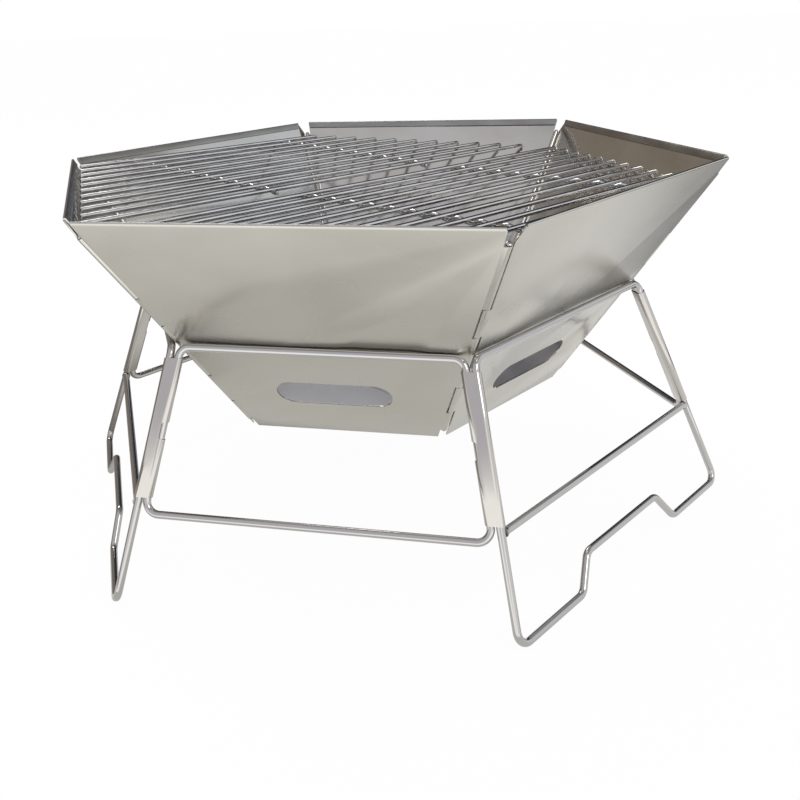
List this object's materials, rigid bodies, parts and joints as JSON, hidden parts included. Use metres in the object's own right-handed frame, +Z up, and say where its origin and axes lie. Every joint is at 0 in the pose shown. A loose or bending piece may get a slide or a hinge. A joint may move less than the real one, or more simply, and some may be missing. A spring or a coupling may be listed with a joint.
{
  "type": "folding wood stove",
  "caption": "Six-sided folding stainless fire bowl with grates on a folding wire stand.",
  "frame": {"origin": "on the ground under the middle of the hexagon", "axes": "+Z up; the front panel faces -Y; +X to the right seen from the front"},
  "size_m": [0.508, 0.4425, 0.2435],
  "materials": {
    "panel_steel": "polished",
    "chromed_wire": "polished",
    "sleeve_steel": "satin",
    "pin_steel": "satin",
    "grate_steel": "polished",
    "plate_steel": "satin"
  },
  "bodies": {
    "tall_frame_front_right": {"tall_frame_front_right": "chromed_wire", "crossbar_front_right": "chromed_wire"},
    "short_frame_front": {"short_frame_front": "chromed_wire", "sleeve_front_right": "sleeve_steel"},
    "short_frame_back_right": {"short_frame_back_right": "chromed_wire", "sleeve_right": "sleeve_steel"},
    "tall_frame_front_left": {"tall_frame_front_left": "chromed_wire", "crossbar_front_left": "chromed_wire", "sleeve_front_left": "sleeve_steel"},
    "short_frame_back_left": {"short_frame_back_left": "chromed_wire", "sleeve_left": "sleeve_steel", "sleeve_back_left": "sleeve_steel"},
    "tall_frame_back": {"tall_frame_back": "chromed_wire", "crossbar_back": "chromed_wire", "sleeve_back_right": "sleeve_steel"},
    "panel_front_right": {"panel_front_right": "panel_steel"},
    "panel_front": {"panel_front": "panel_steel", "hinge_pin_front_right": "pin_steel"},
    "panel_back_right": {"panel_back_right": "panel_steel", "hinge_pin_right": "pin_steel"},
    "panel_front_left": {"panel_front_left": "panel_steel", "hinge_pin_front_left": "pin_steel"},
    "panel_back_left": {"panel_back_left": "panel_steel", "hinge_pin_left": "pin_steel"},
    "panel_back": {"panel_back": "panel_steel", "hinge_pin_back_right": "pin_steel", "hinge_pin_back_left": "pin_steel"},
    "charcoal_plate": {"charcoal_plate": "plate_steel"},
    "ash_plate": {"ash_plate": "plate_steel"},
    "grate_front_right": {"grate_front_right": "grate_steel"},
    "grate_back_left": {"grate_back_left": "grate_steel"}
  },
  "joints": [
    {"name": "bowl_lift", "type": "slide", "parent": "tall_frame_front_right", "child": "panel_front_right", "axis": [0, 0, 1], "range_m": [0, 0.25]},
    {"name": "front_right_leg_hinge", "type": "hinge", "parent": "tall_frame_front_right", "child": "short_frame_front", "pos_m": [0.12715, -0.22023, 0.00238], "axis": [-0.203, 0.3515, 0.9139], "range_deg": [0, 62.14]},
    {"name": "right_leg_hinge", "type": "hinge", "parent": "tall_frame_front_right", "child": "short_frame_back_right", "pos_m": [0.2543, 0, 0.00238], "axis": [0.4059, 0, -0.9139], "range_deg": [0, 62.14]},
    {"name": "front_left_sleeve_hinge", "type": "hinge", "parent": "short_frame_front", "child": "tall_frame_front_left", "pos_m": [-0.12176, -0.22063, 0.00134], "axis": [-0.203, -0.3515, -0.9139], "range_deg": [0, 118.84]},
    {"name": "left_leg_hinge", "type": "hinge", "parent": "tall_frame_front_left", "child": "short_frame_back_left", "pos_m": [-0.2543, 0, 0.00238], "axis": [0.4059, 0, 0.9139], "range_deg": [0, 46.14]},
    {"name": "back_right_sleeve_hinge", "type": "hinge", "parent": "short_frame_back_right", "child": "tall_frame_back", "pos_m": [0.13019, 0.21577, 0.00134], "axis": [-0.203, -0.3515, 0.9139], "range_deg": [0, 115.46]},
    {"name": "front_right_panel_hinge", "type": "hinge", "parent": "panel_front_right", "child": "panel_front", "pos_m": [0.06495, -0.1125, 0.0827], "axis": [0.2818, -0.4881, 0.8261], "range_deg": [0, 62.97]},
    {"name": "right_panel_hinge", "type": "hinge", "parent": "panel_front_right", "child": "panel_back_right", "pos_m": [0.1299, 0, 0.0827], "axis": [-0.5636, 0, -0.8261], "range_deg": [0, 62.97]},
    {"name": "front_left_panel_hinge", "type": "hinge", "parent": "panel_front", "child": "panel_front_left", "pos_m": [-0.06495, -0.1125, 0.0827], "axis": [0.2818, 0.4881, -0.8261], "range_deg": [0, 126]},
    {"name": "left_panel_hinge", "type": "hinge", "parent": "panel_front_left", "child": "panel_back_left", "pos_m": [-0.1299, 0, 0.0827], "axis": [-0.5636, 0, 0.8261], "range_deg": [0, 36.97]},
    {"name": "back_right_panel_hinge", "type": "hinge", "parent": "panel_back_right", "child": "panel_back", "pos_m": [0.06495, 0.1125, 0.0827], "axis": [0.2818, 0.4881, 0.8261], "range_deg": [0, 125.4]},
    {"name": "charcoal_plate_lift", "type": "slide", "parent": "panel_front_right", "child": "charcoal_plate", "axis": [0.4066, -0.2347, 0.8829], "range_m": [0, 0.6]},
    {"name": "ash_plate_lift", "type": "slide", "parent": "panel_front_right", "child": "ash_plate", "axis": [0.4066, -0.2347, 0.8829], "range_m": [0, 0.45]},
    {"name": "grate_front_right_lift", "type": "slide", "parent": "charcoal_plate", "child": "grate_front_right", "axis": [0, 0, 1], "range_m": [0, 0.12]},
    {"name": "grate_back_left_lift", "type": "slide", "parent": "charcoal_plate", "child": "grate_back_left", "axis": [0, 0, 1], "range_m": [0, 0.12]}
  ],
  "couplings": [
    {"joint": "front_right_leg_hinge", "follows": "bowl_lift", "rad_per_m": 4.3378},
    {"joint": "right_leg_hinge", "follows": "bowl_lift", "rad_per_m": 4.3378},
    {"joint": "front_left_sleeve_hinge", "follows": "bowl_lift", "rad_per_m": 8.2962},
    {"joint": "left_leg_hinge", "follows": "bowl_lift", "rad_per_m": 3.2208},
    {"joint": "back_right_sleeve_hinge", "follows": "bowl_lift", "rad_per_m": 8.0603},
    {"joint": "front_right_panel_hinge", "follows": "bowl_lift", "rad_per_m": 4.3958},
    {"joint": "right_panel_hinge", "follows": "bowl_lift", "rad_per_m": 4.3958},
    {"joint": "front_left_panel_hinge", "follows": "bowl_lift", "rad_per_m": 8.7961},
    {"joint": "left_panel_hinge", "follows": "bowl_lift", "rad_per_m": 2.5806},
    {"joint": "back_right_panel_hinge", "follows": "bowl_lift", "rad_per_m": 8.7542},
    {"joint": "charcoal_plate_lift", "follows": "bowl_lift", "ratio": 2.4},
    {"joint": "ash_plate_lift", "follows": "bowl_lift", "ratio": 1.8}
  ]
}
